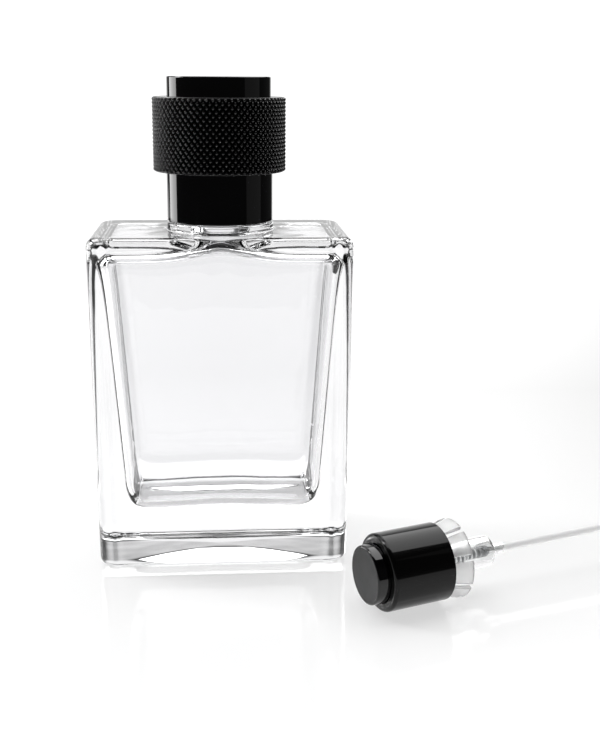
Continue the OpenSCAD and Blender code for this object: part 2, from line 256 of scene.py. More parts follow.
def piano_black():
    """Black ABS moulded in a polished tool: deep mirror gloss with a faint orange-peel."""
    material, tree, shader = finish("piano_black_abs", {
        "Base Color": linear("#020203"), "Roughness": 0.04, "IOR": 1.5})
    relief(tree, shader, 3 * MM, 0.002 * MM)
    uneven(tree, shader, 12 * MM, 0.03, 0.07)
    return material


def knurled_aluminium():
    """Aluminium, diamond-knurled, bead-blasted and dyed black in the anodising bath: a satin skin
    that glints on the tips of the diamonds."""
    material, tree, shader = finish("black_anodised_aluminium", {
        "Base Color": linear("#030304"), "Roughness": 0.2, "IOR": 1.5, "Specular IOR Level": 0.5})
    relief(tree, shader, 0.25 * MM, 0.003 * MM)
    uneven(tree, shader, 2 * MM, 0.15, 0.24)
    return material


def lacquered_collar():
    """Drawn aluminium under black lacquer: a glossy coat over a darker, slightly soft base."""
    material, tree, shader = finish("black_lacquered_aluminium", {
        "Base Color": linear("#030303"), "Roughness": 0.3, "IOR": 1.5, "Specular IOR Level": 0.05,
        "Coat Weight": 0.7, "Coat Roughness": 0.05, "Coat IOR": 1.36})
    relief(tree, shader, 4 * MM, 0.002 * MM)
    return material


def satin_button():
    """The button's top face, moulded against a fine spark-eroded tool: an even grey sheen."""
    material, tree, shader = finish("satin_black_abs", {
        "Base Color": linear("#0E0E10"), "Roughness": 0.42, "IOR": 1.5, "Specular IOR Level": 0.4})
    relief(tree, shader, 0.12 * MM, 0.006 * MM)
    uneven(tree, shader, 4 * MM, 0.38, 0.46)
    return material


def clear_plastic():
    """Clarified polypropylene, injection moulded. It bends light less than the real plastic does,
    which keeps the thin fingers pale instead of dark-edged."""
    material, tree, shader = finish("clarified_polypropylene", {
        "Base Color": linear("#FEFEFE"), "Roughness": 0.24, "IOR": 1.28, "Transmission Weight": 0.66})
    relief(tree, shader, 1.5 * MM, 0.01 * MM)
    return material


def frosted_plastic():
    """Natural polypropylene in a thin wall: see-through with some haze, and set to bend light less
    than the real plastic does."""
    material, tree, shader = finish("hazy_polypropylene", {
        "Base Color": linear("#FAFBFB"), "Roughness": 0.1, "IOR": 1.36, "Transmission Weight": 0.84})
    relief(tree, shader, 1.2 * MM, 0.008 * MM)
    return material


def milky_tube():
    """Extruded natural polyethylene: a soft milky white with light passing through, and set to bend
    light less than the real plastic does."""
    material, tree, shader = finish("extruded_polyethylene", {
        "Base Color": linear("#FFFFFF"), "Roughness": 0.3, "IOR": 1.15, "Transmission Weight": 0.7})
    relief(tree, shader, 0.8 * MM, 0.004 * MM)
    return material


def moulded_white():
    """Natural polypropylene in a thick wall: a waxy off-white."""
    material, tree, shader = finish("natural_polypropylene", {
        "Base Color": linear("#E9EAE8"), "Roughness": 0.4, "IOR": 1.49,
        "Subsurface Weight": 0.3, "Subsurface Radius": [0.002, 0.002, 0.002], "Subsurface Scale": 0.4})
    relief(tree, shader, 0.5 * MM, 0.006 * MM)
    uneven(tree, shader, 5 * MM, 0.34, 0.46)
    return material


def soft_white():
    """Low-density polyethylene, as seals and pistons are moulded from: softer and duller."""
    material, tree, shader = finish("soft_polyethylene", {
        "Base Color": linear("#E4E6E4"), "Roughness": 0.5, "IOR": 1.51,
        "Subsurface Weight": 0.3, "Subsurface Radius": [0.002, 0.002, 0.002], "Subsurface Scale": 0.4})
    relief(tree, shader, 0.4 * MM, 0.008 * MM)
    return material


def spring_wire():
    """Drawn stainless wire: bright, with a fine grain."""
    material, tree, shader = finish("drawn_stainless_wire", {
        "Base Color": linear("#8E8F92"), "Metallic": 1.0, "Roughness": 0.28})
    relief(tree, shader, 0.1 * MM, 0.004 * MM)
    return material


def polished_steel():
    """A ground and lapped stainless ball."""
    material, tree, shader = finish("lapped_stainless", {
        "Base Color": linear("#B4B5B8"), "Metallic": 1.0, "Roughness": 0.08})
    relief(tree, shader, 0.2 * MM, 0.001 * MM)
    return material


def plated_steel():
    """A tumbled steel slug with a dull zinc plating."""
    material, tree, shader = finish("zinc_plated_steel", {
        "Base Color": linear("#9DA0A3"), "Metallic": 1.0, "Roughness": 0.4})
    relief(tree, shader, 0.6 * MM, 0.02 * MM)
    uneven(tree, shader, 3 * MM, 0.32, 0.5)
    return material


MAKERS = {
    "glass": clear_glass, "cap": piano_black, "knurl": knurled_aluminium, "collar": lacquered_collar,
    "satin": satin_button, "clear": clear_plastic, "hazy": frosted_plastic, "tube": milky_tube,
    "white": moulded_white, "soft": soft_white, "wire": spring_wire, "ball": polished_steel,
    "weight": plated_steel,
}
finishes = {}


def material(name):
    """A finish by its short name, made once."""
    if name not in finishes:
        finishes[name] = MAKERS[name]()
    return finishes[name]


# ---- Sizes that a user would change ----

def size_mm(name, description, millimetres):
    """A size property, given in millimetres and kept in metres."""
    return FloatProperty(name=name, description=description, default=millimetres * MM, unit="LENGTH")


class GlassSizes(bpy.types.PropertyGroup):
    edge: size_mm("Edge radius", "Radius of the base and shoulder edges", 2.4)
    corner: size_mm("Corner radius", "Radius of the upright edges", 4.0)
    draft: size_mm("Draft", "Lean of each side between shoulder and base", 0.45)
    push_up: size_mm("Push-up", "Height of the hollow under the base", 1.3)
    foot: size_mm("Foot", "Width of the flat that the bottle stands on", 2.2)
    floor: size_mm("Floor", "Thickness of the glass floor", 13.8)
    floor_wave: size_mm("Floor wave", "Rise of the glass floor in its middle", 0.7)
    shoulder: size_mm("Shoulder", "Glass above the cavity's corners", 4.1)
    dome: size_mm("Dome", "Rise of the cavity's ceiling towards the neck", 2.6)
    dome_width: size_mm("Dome width", "Spread of the rise from left to right", 9.5)
    dome_depth: size_mm("Dome depth", "Spread of the rise from front to back", 30.0)
    ceiling_round: size_mm("Ceiling radius", "Radius between ceiling and walls", 2.6)
    ceiling_corner: size_mm("Ceiling corner", "Corner radius at the ceiling", 4.4)
    wall_high: size_mm("Upper wall", "Glass wall at the top of the cavity", 3.0)
    wall_low_x: size_mm("Lower side wall", "Side wall beside the cavity's floor", 7.0)
    wall_low_y: size_mm("Lower front wall", "Front wall beside the cavity's floor", 6.5)
    cavity_round: size_mm("Cavity radius", "Radius of the cavity's edges", 4.2)


class CapSizes(bpy.types.PropertyGroup):
    columns: IntProperty(name="Knurl columns", description="Diamonds around the ring", default=68)
    rows: IntProperty(name="Knurl rows", description="Staggered rows of diamonds", default=19)
    depth: size_mm("Knurl depth", "Height of the diamonds", 0.42)
    chamfer: size_mm("Ring chamfer", "Chamfer that cuts the knurl's ends", 0.3)


class PumpSizes(bpy.types.PropertyGroup):
    shell_wall: size_mm("Collar wall", "Wall of the lacquered collar", 0.35)
    shoulder: size_mm("Collar shoulder", "Radius of the collar's shoulder", 1.3)
    mouth_gap: size_mm("Mouth gap", "Gap between button and collar", 0.15)
    button_wall: size_mm("Button wall", "Wall of the button", 1.0)
    turns: IntProperty(name="Spring turns", description="Open turns of the return spring", default=9)


class StageSettings(bpy.types.PropertyGroup):
    top: FloatProperty(name="Top light", description="Brightness of the overhead bank", default=3.2)
    left: FloatProperty(name="Left light", description="Brightness of the left panel", default=4.2)
    high_left: FloatProperty(name="High left light", description="Brightness of the high left panel",
                             default=26.0)
    right: FloatProperty(name="Right light", description="Brightness of the right panel", default=0.13)
    # painted glow: the table top's own emission stands in for light, evening out the lamps and lightening the
    # shadows on it
    glow: FloatProperty(name="Table glow", description="Brightness of the light under the table", default=0.6)


def sizes():
    """The scene's property groups."""
    return bpy.context.scene.bottle_sizes


class BottleSizes(bpy.types.PropertyGroup):
    glass: PointerProperty(type=GlassSizes)
    cap: PointerProperty(type=CapSizes)
    pump: PointerProperty(type=PumpSizes)
    stage: PointerProperty(type=StageSettings)


# ---- Glass ----

GLASS_POINTS = 480


def section_ring(bm, a, b, r, z, lift=None):
    """A level ring of vertices on a rectangle of half sizes a and b with corners of radius r."""
    ring = []
    r = min(r, a, b)
    for k in range(GLASS_POINTS):
        angle = 2 * math.pi * k / GLASS_POINTS
        c, s = math.cos(angle), math.sin(angle)
        along = min(a / abs(c) if abs(c) > 1e-9 else 1e9, b / abs(s) if abs(s) > 1e-9 else 1e9)
        if abs(c) * along > a - r and abs(s) * along > b - r:
            middle = abs(c) * (a - r) + abs(s) * (b - r)
            off = (a - r) ** 2 + (b - r) ** 2
            along = middle + math.sqrt(max(middle * middle - off + r * r, 0.0))
        x, y = c * along, s * along
        ring.append(bm.verts.new((x, y, z + (lift(x, y) if lift else 0.0))))
    return ring


def ease(t):
    """A smooth step from 0 to 1."""
    return t * t * (3 - 2 * t)


def blend(low, high, t):
    """A value between two others."""
    return low + (high - low) * t


def glass_rings(bm, g):
    """Rings of the bottle's whole skin: under the base, up the outside, over the neck, down inside."""
    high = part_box("glass_bottle")[1]
    half_w, half_d = high.x, high.y
    body_h, step_z, neck_z = glass_levels()
    foot_w, foot_d = half_w - g.draft, half_d - g.draft
    steps = 8
    rings = [[bm.verts.new((0, 0, g.push_up))]]
    inner_w, inner_d = foot_w - g.edge - g.foot, foot_d - g.edge - g.foot
    hollow = 16
    for k in range(1, hollow + 1):
        t = k / hollow
        rings.append(section_ring(bm, inner_w * t, inner_d * t, g.corner * t,
                                  g.push_up * (1 - ease(t ** 1.6))))
    rings.append(section_ring(bm, foot_w - g.edge - SUPPORT, foot_d - g.edge - SUPPORT, g.corner, 0))
    for k in range(steps + 1):
        a = math.radians(-90 + 90 * k / steps)
        out = g.edge * (math.cos(a) - 1)
        rings.append(section_ring(bm, foot_w + out, foot_d + out, g.corner + out * 0.5,
                                  g.edge * (1 + math.sin(a))))
    for t in (0.001, 0.25, 0.5, 0.75, 0.999):
        lean = g.draft * (1 - t)
        rings.append(section_ring(bm, half_w - lean, half_d - lean, g.corner,
                                  blend(g.edge, body_h - g.edge, t)))
    for k in range(steps + 1):
        a = math.radians(90 * k / steps)
        out = g.edge * (math.cos(a) - 1)
        rings.append(section_ring(bm, half_w + out, half_d + out, g.corner + out * 0.5,
                                  body_h + g.edge * (math.sin(a) - 1)))
    step_r, neck_r, bead_r, bore_r, bead_z = neck_radii()
    flare = 1.0 * MM
    start = g.edge + SUPPORT
    for k in range(1, steps + 1):
        t = k / steps
        rings.append(section_ring(bm, blend(half_w - start, step_r + flare, t),
                                  blend(half_d - start, step_r + flare, t),
                                  blend(g.corner - g.edge * 0.5, step_r + flare, ease(t)), body_h))
    cavity_z = body_h - g.shoulder

    def lift(x, y):
        return g.dome * math.exp(-(x / g.dome_width) ** 2 - (y / g.dome_depth) ** 2)

    neck = rounded([
        (step_r + 2 * flare, body_h, 0), (step_r, body_h, flare), (step_r, step_z, 0.6 * MM),
        (neck_r, step_z, 0.8 * MM), (neck_r, bead_z - (bead_r - neck_r), 0.4 * MM),
        (bead_r, bead_z, 0.3 * MM), (bead_r, neck_z, 0.6 * MM), (bore_r, neck_z, 0.5 * MM),
        (bore_r, cavity_z + lift(bore_r, 0) + MM, 0)], closed=False)
    for point in neck[2:]:
        rings.append(section_ring(bm, point.x, point.x, point.x, point.y))
    top_w, top_d = half_w - g.wall_high, half_d - g.wall_high
    bottom_w, bottom_d = half_w - g.wall_low_x, half_d - g.wall_low_y
    r, turn, corner = g.ceiling_round, g.cavity_round, g.ceiling_corner
    out = bore_r + 0.3 * MM
    for k in range(steps + 4):
        t = 0.999 * k / (steps + 3)
        rings.append(section_ring(bm, blend(out, top_w - r, t), blend(out, top_d - r, t),
                                  blend(out, corner - r, ease(t)), cavity_z, lift))
    for k in range(steps + 1):
        a = math.radians(90 - 90 * k / steps)
        out = r * (math.cos(a) - 1)
        rings.append(section_ring(bm, top_w + out, top_d + out, corner + out,
                                  cavity_z + r * (math.sin(a) - 1), lift))
    tall = 2 * turn
    wall_top, wall_low = cavity_z - r, g.floor + tall
    walls = 14
    for k in range(1, walls + 1):
        t = k / walls
        fade = max(0.0, 1 - 4 * t)
        rings.append(section_ring(bm, blend(top_w, bottom_w, t ** 0.9), blend(top_d, bottom_d, t ** 0.9),
                                  blend(corner, turn, min(1.0, 2.5 * t)), blend(wall_top, wall_low, t),
                                  lambda x, y: fade * lift(x, y)))

    def wave(x, y):
        return g.floor_wave * math.exp(-(x / (0.4 * half_w)) ** 2)

    for k in range(1, steps + 1):
        a = math.radians(90 * k / steps)
        out = turn * (math.cos(a) - 1)
        rings.append(section_ring(bm, bottom_w + out, bottom_d + out, turn + out * 0.3,
                                  wall_low - tall * math.sin(a), lambda x, y: math.sin(a) * wave(x, y)))
    for t in (0.9, 0.75, 0.6, 0.45, 0.3, 0.15):
        rings.append(section_ring(bm, (bottom_w - turn) * t, (bottom_d - turn) * t, 0.7 * turn * t,
                                  g.floor, wave))
    rings.append([bm.verts.new((0, 0, g.floor + g.floor_wave))])
    return rings


def glass_levels():
    """Heights of the shoulder, the step and the top of the neck, read from the CAD glass."""
    points = [v.co for v in frame["nodes"]["glass_bottle"].data.vertices]
    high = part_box("glass_bottle")[1]
    neck_z = high.z
    step_z = max(p.z for p in points if math.hypot(p.x, p.y) > 9 * MM and p.z > 0.8 * neck_z)
    body_h = max(p.z for p in points if abs(p.x) > 0.75 * high.x)
    return body_h, step_z, neck_z


def neck_radii():
    """Radii of the step, the neck, the bead and the bore, and the bead's lower level."""
    step_z = glass_levels()[1]
    above = [v.co for v in frame["nodes"]["glass_bottle"].data.vertices if v.co.z > step_z - 1e-6]
    radii = sorted(math.hypot(p.x, p.y) for p in above)
    bore_r = radii[0]
    bead_r = max(math.hypot(p.x, p.y) for p in above if p.z > step_z + MM)
    wide = [p.z for p in above if abs(math.hypot(p.x, p.y) - bead_r) < 1e-5]
    neck_r = min(math.hypot(p.x, p.y) for p in above
                 if p.z < min(wide) and math.hypot(p.x, p.y) > bore_r + MM)
    step_r = max(radii) + 0.5 * MM
    return step_r, neck_r, bead_r, bore_r, min(wide)


class BOTTLE_OT_glass(bpy.types.Operator):
    """Builds the moulded glass bottle as one closed skin"""
    bl_idname = "bottle.glass"
    bl_label = "Glass bottle"

    def execute(self, context):
        bm = bmesh.new()
        skin(bm, glass_rings(bm, sizes().glass), closed=False)
        piece = mesh_object("bottle_glass", bm, material("glass"), sharp=math.radians(60))
        fasten(piece, "bottle", "clear_glass", "glass_bottle")
        return {"FINISHED"}


# ---- Cap ----

class BOTTLE_OT_cap(bpy.types.Operator):
    """Turns the gloss cap and gives its weight and liner their finishes"""
    bl_idname = "bottle.cap"
    bl_label = "Cap"

    def execute(self, context):
        shell = Span("cap_shell", UPRIGHT)
        ring = Span("knurled_ring", UPRIGHT)
        weight = Span("cap_weight", UPRIGHT)
        wall = 1.4 * MM
        crown_r = ring.inner - PRESS_GAP
        outline = rounded([
            (0, shell.high, 0), (crown_r, shell.high, 0.35 * MM), (crown_r, ring.low, 0),
            (shell.outer, ring.low, 0.15 * MM), (shell.outer, shell.low, 0.25 * MM),
            (shell.outer - wall, shell.low, 0.15 * MM), (shell.outer - wall, ring.low - 2 * wall, 0),
            (crown_r - wall, ring.low - wall, 0), (crown_r - wall, weight.high, 0.2 * MM),
            (0, weight.high, 0)], closed=False)
        piece = lathe("cap_gloss_shell", outline, material("cap"))
        fasten(piece, "cap", "gloss_black_cap", "cap_shell")
        paint("cap_liner", "white")
        paint("cap_weight", "weight")
        return {"FINISHED"}


def paint(node, name):
    """Gives a CAD node that keeps its shape a better finish."""
    mesh = frame["nodes"][node].data
    mesh.materials.clear()
    mesh.materials.append(material(name))


def knurl_tree():
    """Nodes that set rows of four-sided studs on a cylinder and chamfer the band's two ends."""
    tree = bpy.data.node_groups.new("diamond_knurl", "GeometryNodeTree")
    tree.interface.new_socket("Geometry", in_out="INPUT", socket_type="NodeSocketGeometry")
    for name in ("Columns", "Rows"):
        tree.interface.new_socket(name, in_out="INPUT", socket_type="NodeSocketInt")
    for name in ("Radius", "Low", "High", "Depth", "Chamfer", "Tip"):
        tree.interface.new_socket(name, in_out="INPUT", socket_type="NodeSocketFloat")
    tree.interface.new_socket("Material", in_out="INPUT", socket_type="NodeSocketMaterial")
    tree.interface.new_socket("Geometry", in_out="OUTPUT", socket_type="NodeSocketGeometry")
    given = add(tree, "NodeGroupInput").outputs
    math_node = "ShaderNodeMath"
    count = add(tree, math_node, {0: given["Columns"], 1: given["Rows"]}, operation="MULTIPLY")
    index = add(tree, "GeometryNodeInputIndex").outputs[0]
    column = add(tree, math_node, {0: index, 1: given["Columns"]}, operation="FLOORED_MODULO")
    ratio = add(tree, math_node, {0: index, 1: given["Columns"]}, operation="DIVIDE")
    nudge = add(tree, math_node, {0: ratio.outputs[0], 1: 0.0001}, operation="ADD")
    row = add(tree, math_node, {0: nudge.outputs[0]}, operation="FLOOR")
    odd = add(tree, math_node, {0: row.outputs[0], 1: 2.0}, operation="FLOORED_MODULO")
    shift = add(tree, math_node, {0: odd.outputs[0], 1: 0.5, 2: column.outputs[0]}, operation="MULTIPLY_ADD")
    share = add(tree, math_node, {0: shift.outputs[0], 1: given["Columns"]}, operation="DIVIDE")
    angle = add(tree, math_node, {0: share.outputs[0], 1: 2 * math.pi}, operation="MULTIPLY")
    cosine = add(tree, math_node, {0: angle.outputs[0]}, operation="COSINE")
    sine = add(tree, math_node, {0: angle.outputs[0]}, operation="SINE")
    minus = add(tree, math_node, {0: sine.outputs[0], 1: -1.0}, operation="MULTIPLY")
    band = add(tree, math_node, {0: given["High"], 1: given["Low"]}, operation="SUBTRACT")
    pitch = add(tree, math_node, {0: band.outputs[0], 1: given["Rows"]}, operation="DIVIDE")
    level = add(tree, math_node, {0: row.outputs[0], 1: 0.5}, operation="ADD")
    height = add(tree, math_node, {0: level.outputs[0], 1: pitch.outputs[0], 2: given["Low"]},
                 operation="MULTIPLY_ADD")
    out = add(tree, "ShaderNodeCombineXYZ", {0: cosine.outputs[0], 1: sine.outputs[0], 2: 0.0})
    around = add(tree, "ShaderNodeCombineXYZ", {0: minus.outputs[0], 1: cosine.outputs[0], 2: 0.0})
    rim = add(tree, "ShaderNodeVectorMath", {0: out.outputs[0], "Scale": given["Radius"]}, operation="SCALE")
    up = add(tree, "ShaderNodeCombineXYZ", {0: 0.0, 1: 0.0, 2: height.outputs[0]})
    place = add(tree, "ShaderNodeVectorMath", {0: rim.outputs[0], 1: up.outputs[0]}, operation="ADD")
    points = add(tree, "GeometryNodePoints", {"Count": count.outputs[0], "Position": place.outputs[0]})
    turn = add(tree, "FunctionNodeAxesToRotation", {0: out.outputs[0], 1: around.outputs[0]},
               primary_axis="Z", secondary_axis="X")
    stud = add(tree, "GeometryNodeMeshCone", {"Vertices": 4, "Radius Top": given["Tip"], "Radius Bottom": 1.0,
                                              "Depth": 1.0}, fill_type="NGON")
    half = add(tree, math_node, {0: given["Radius"], 1: math.pi}, operation="MULTIPLY")
    width = add(tree, math_node, {0: half.outputs[0], 1: given["Columns"]}, operation="DIVIDE")
    scale = add(tree, "ShaderNodeCombineXYZ", {0: width.outputs[0], 1: pitch.outputs[0], 2: given["Depth"]})
    studs = add(tree, "GeometryNodeInstanceOnPoints", {
        "Points": points.outputs[0], "Instance": stud.outputs["Mesh"], "Rotation": turn.outputs[0],
        "Scale": scale.outputs[0]})
    soft = add(tree, "GeometryNodeSetShadeSmooth", {0: studs.outputs[0]})
    plain = add(tree, "GeometryNodeRealizeInstances", {0: soft.outputs[0]})
    here = add(tree, "GeometryNodeInputPosition").outputs[0]
    parts = add(tree, "ShaderNodeSeparateXYZ", {0: here})
    level = add(tree, "ShaderNodeClamp",
                {"Value": parts.outputs[2], "Min": given["Low"], "Max": given["High"]})
    flat = add(tree, "ShaderNodeCombineXYZ", {0: parts.outputs[0], 1: parts.outputs[1], 2: 0.0})
    length = add(tree, "ShaderNodeVectorMath", {0: flat.outputs[0]}, operation="LENGTH")
    above = add(tree, math_node, {0: given["High"], 1: level.outputs[0]}, operation="SUBTRACT")
    below = add(tree, math_node, {0: level.outputs[0], 1: given["Low"]}, operation="SUBTRACT")
    nearest = add(tree, math_node, {0: above.outputs[0], 1: below.outputs[0]}, operation="MINIMUM")
    missing = add(tree, math_node, {0: given["Chamfer"], 1: nearest.outputs[0]}, operation="SUBTRACT")
    cut = add(tree, math_node, {0: missing.outputs[0], 1: 0.0}, operation="MAXIMUM")
    most = add(tree, math_node, {0: given["Radius"], 1: given["Depth"]}, operation="ADD")
    limit = add(tree, math_node, {0: most.outputs[0], 1: cut.outputs[0]}, operation="SUBTRACT")
    kept = add(tree, math_node, {0: length.outputs["Value"], 1: limit.outputs[0]}, operation="MINIMUM")
    shrink = add(tree, math_node, {0: kept.outputs[0], 1: length.outputs["Value"]}, operation="DIVIDE")
    side = add(tree, "ShaderNodeVectorMath", {0: flat.outputs[0], "Scale": shrink.outputs[0]},
               operation="SCALE")
    rise = add(tree, "ShaderNodeCombineXYZ", {0: 0.0, 1: 0.0, 2: level.outputs[0]})
    final = add(tree, "ShaderNodeVectorMath", {0: side.outputs[0], 1: rise.outputs[0]}, operation="ADD")
    trimmed = add(tree, "GeometryNodeSetPosition",
                  {"Geometry": plain.outputs[0], "Position": final.outputs[0]})
    joined = add(tree, "GeometryNodeJoinGeometry", {0: trimmed.outputs[0]})
    tree.links.new(given["Geometry"], joined.inputs[0])
    realized = add(tree, "GeometryNodeRealizeInstances", {0: joined.outputs[0]})
    painted = add(tree, "GeometryNodeSetMaterial",
                  {"Geometry": realized.outputs[0], "Material": given["Material"]})
    add(tree, "NodeGroupOutput", {0: painted.outputs[0]})
    return tree


def by_nodes(piece, tree, values):
    """Runs a node tree on a piece, with its inputs set by name, and keeps the result as a plain mesh."""
    modifier = piece.modifiers.new(tree.name, "NODES")
    modifier.node_group = tree
    for item in tree.interface.items_tree:
        if item.item_type == "SOCKET" and item.in_out == "INPUT" and item.name in values:
            modifier[item.identifier] = values[item.name]
    return settle(piece)


def settle(piece):
    """Applies a piece's modifiers to its mesh."""
    bpy.context.view_layer.update()
    seen = piece.evaluated_get(bpy.context.evaluated_depsgraph_get())
    mesh = bpy.data.meshes.new_from_object(seen, preserve_all_data_layers=True,
                                           depsgraph=bpy.context.evaluated_depsgraph_get())
    piece.modifiers.clear()
    piece.data = mesh
    return piece


class BOTTLE_OT_knurl(bpy.types.Operator):
    """Turns the ring's body and cuts its diamond knurl with Geometry Nodes"""
    bl_idname = "bottle.knurl"
    bl_label = "Knurled ring"

    def execute(self, context):
        cap = sizes().cap
        ring = Span("knurled_ring", UPRIGHT)
        sink = 0.03 * MM
        end_gap = 0.05 * MM
        valley = ring.outer - cap.depth - sink
        edge = cap.chamfer * 0.5
        outline = rounded([
            (ring.inner, ring.low, 0.1 * MM), (valley, ring.low, edge),
            (valley, ring.high, edge), (ring.inner, ring.high, 0.1 * MM)])
        piece = lathe("knurled_ring_metal", outline, material("knurl"))
        by_nodes(piece, knurl_tree(), {
            "Columns": cap.columns, "Rows": cap.rows, "Radius": valley,
            "Low": ring.low + end_gap, "High": ring.high - end_gap, "Depth": cap.depth,
            "Chamfer": cap.chamfer, "Tip": 0.16, "Material": material("knurl")})
        fasten(piece, "cap", "knurled_aluminium", "knurled_ring")
        return {"FINISHED"}


# ---- Pump ----

class BOTTLE_OT_collar(bpy.types.Operator):
    """Turns the lacquered collar and finishes the sleeve inside it"""
    bl_idname = "bottle.collar"
    bl_label = "Pump collar"

    def execute(self, context):
        pump = sizes().pump
        shell = Span("collar_shell", PUMP)
        mouth = Span("spray_button", PUMP).outer + pump.mouth_gap
        wall, r = pump.shell_wall, pump.shoulder
        outline = rounded([
            (shell.outer, shell.low, 0.1 * MM), (shell.outer, shell.high, r),
            (mouth, shell.high, 0.15 * MM), (mouth, shell.high - wall, 0.1 * MM),
            (shell.outer - wall, shell.high - wall, r - wall), (shell.outer - wall, shell.low, 0.1 * MM)])
        piece = lathe("collar_lacquered_shell", outline, material("collar"), PUMP)
        fasten(piece, "collar", "black_lacquer", "collar_shell")
        paint("collar_sleeve", "white")
        return {"FINISHED"}


class BOTTLE_OT_button(bpy.types.Operator):
    """Turns the push button, sinks its spray hole and presses in the spray insert"""
    bl_idname = "bottle.button"
    bl_label = "Spray button"

    def execute(self, context):
        pump = sizes().pump
        button = Span("spray_button", PUMP)
        stem = Span("pump_stem", PUMP)
        centre = PUMP.inverted() @ middle("spray_insert")
        inner = button.outer - pump.button_wall
        roof = button.high - 0.9 * MM
        stem_r = 1.5 * MM
        boss = stem_r + 1.1 * MM
        bore = stem_r + PRESS_GAP
        bore_end = stem.high + PRESS_GAP
        outline = rounded([
            (0, button.high, 0), (button.outer, button.high, 0.5 * MM), (button.outer, button.low, 0.15 * MM),
            (inner, button.low, 0.15 * MM), (inner, roof, 0.3 * MM), (boss, roof, 0.3 * MM),
            (boss, button.low, 0.15 * MM), (bore, button.low, 0), (bore, bore_end, 0),
            (0, bore_end, 0)], closed=False)
        piece = lathe("spray_button_gloss", outline, material("cap"), PUMP)
        piece.data.materials.append(material("satin"))
        top = PUMP.inverted()
        for face in piece.data.polygons:
            if (top @ face.center).z > button.high - 0.005 * MM:
                face.material_index = 1
        aim = math.atan2(centre.y, centre.x)
        facing = PUMP @ Matrix.Translation((0, 0, centre.z)) @ Matrix.Rotation(aim, 4, "Z") @ Matrix.Rotation(
            math.pi / 2, 4, "Y")
        insert = Span("spray_insert", facing)
        depth = insert.high - insert.low
        pocket = [Vector((0, insert.low)), Vector((insert.outer, insert.low)),
                  Vector((insert.outer, insert.high + depth)), Vector((0, insert.high + depth))]
        hole = lathe("button_pocket", pocket, material("cap"), facing, SMALL_SEGMENTS)
        cutter = piece.modifiers.new("pocket", "BOOLEAN")
        cutter.operation = "DIFFERENCE"
        cutter.solver = "EXACT"
        cutter.object = hole
        settle(piece)
        bpy.data.objects.remove(hole)
        fasten(piece, "button", "black_button", "spray_button")
        r, face = insert.outer - PRESS_GAP, insert.high
        outline = rounded([
            (0, insert.low, 0), (r, insert.low, 0.1 * MM), (r, face, 0.15 * MM), (0.75 * MM, face, 0.05 * MM),
            (0.25 * MM, face - 0.3 * MM, 0.02 * MM), (0.2 * MM, face - 1.0 * MM, 0), (0, face - 1.0 * MM, 0)],
            closed=False)
        nozzle = lathe("spray_insert_disc", outline, material("collar"), facing, SMALL_SEGMENTS)
        fasten(nozzle, "button", "black_insert", "spray_insert")
        return {"FINISHED"}


def middle(node):
    """The middle of a CAD node's box."""
    low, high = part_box(node)
    return (Vector(low) + Vector(high)) / 2


FINGERS = [f"snap_finger_{i}" for i in range(1, 9)]
FINGER_STEPS = 10


def finger_outline(finger, ring_r):
    """Radius and level of a finger's outline, thin at the root and thick at its flared tip."""
    tip, root = finger.low, finger.high
    hook = root - 3.3 * MM
    r = finger.outer
    return rounded([
        (finger.inner, root, 0), (finger.inner + 0.1 * MM, hook + 0.3 * MM, 0.1 * MM),
        (finger.inner + 0.2 * MM, hook, 0.1 * MM), (finger.inner + 0.3 * MM, hook - 1.2 * MM, 0.4 * MM),
        (r - 1.1 * MM, tip, 0.15 * MM), (r, tip, 0.3 * MM), (r - 0.15 * MM, tip + 1.4 * MM, 0.4 * MM),
        (ring_r + 0.1 * MM, root - 2.4 * MM, 0.4 * MM), (ring_r, root, 0)])


def finger_mesh(name, number, finger, ring_r, slot):
    """One finger, swept round the pump's axis between its two slots."""
    bm = bmesh.new()
    middle_angle = 2 * math.pi * number / len(FINGERS)
    rings = []
    for k in range(FINGER_STEPS + 1):
        t = 2 * k / FINGER_STEPS - 1
        ring = []
        for point in finger_outline(finger, ring_r):
            half = math.pi / len(FINGERS) - math.asin(slot / 2 / point.x)
            a = middle_angle + t * half
            ring.append(bm.verts.new((point.x * math.cos(a), point.x * math.sin(a), point.y)))
        rings.append(ring)
    skin(bm, rings, closed=False)
    bm.faces.new(rings[0])
    bm.faces.new(rings[-1])
    piece = mesh_object(name, bm, material("clear"), PUMP)
    bevel = piece.modifiers.new("edges", "BEVEL")
    bevel.width = 0.12 * MM
    bevel.segments = 2
    bevel.limit_method = "ANGLE"
    bevel.angle_limit = math.radians(60)
    return settle(piece)


class BOTTLE_OT_fingers(bpy.types.Operator):
    """Sweeps the eight clear snap fingers and finishes the fastener's ring"""
    bl_idname = "bottle.fingers"
    bl_label = "Snap fingers"

    def execute(self, context):
        ring = Span("fastener_ring", PUMP)
        slot = 1.5 * MM
        for i, node in enumerate(FINGERS):
            piece = finger_mesh(f"clear_finger_{i + 1}", i, Span(node, PUMP), ring.outer, slot)
            fasten(piece, f"finger_{i + 1}", "clear_polypropylene", node)
        paint("fastener_ring", "clear")
        return {"FINISHED"}


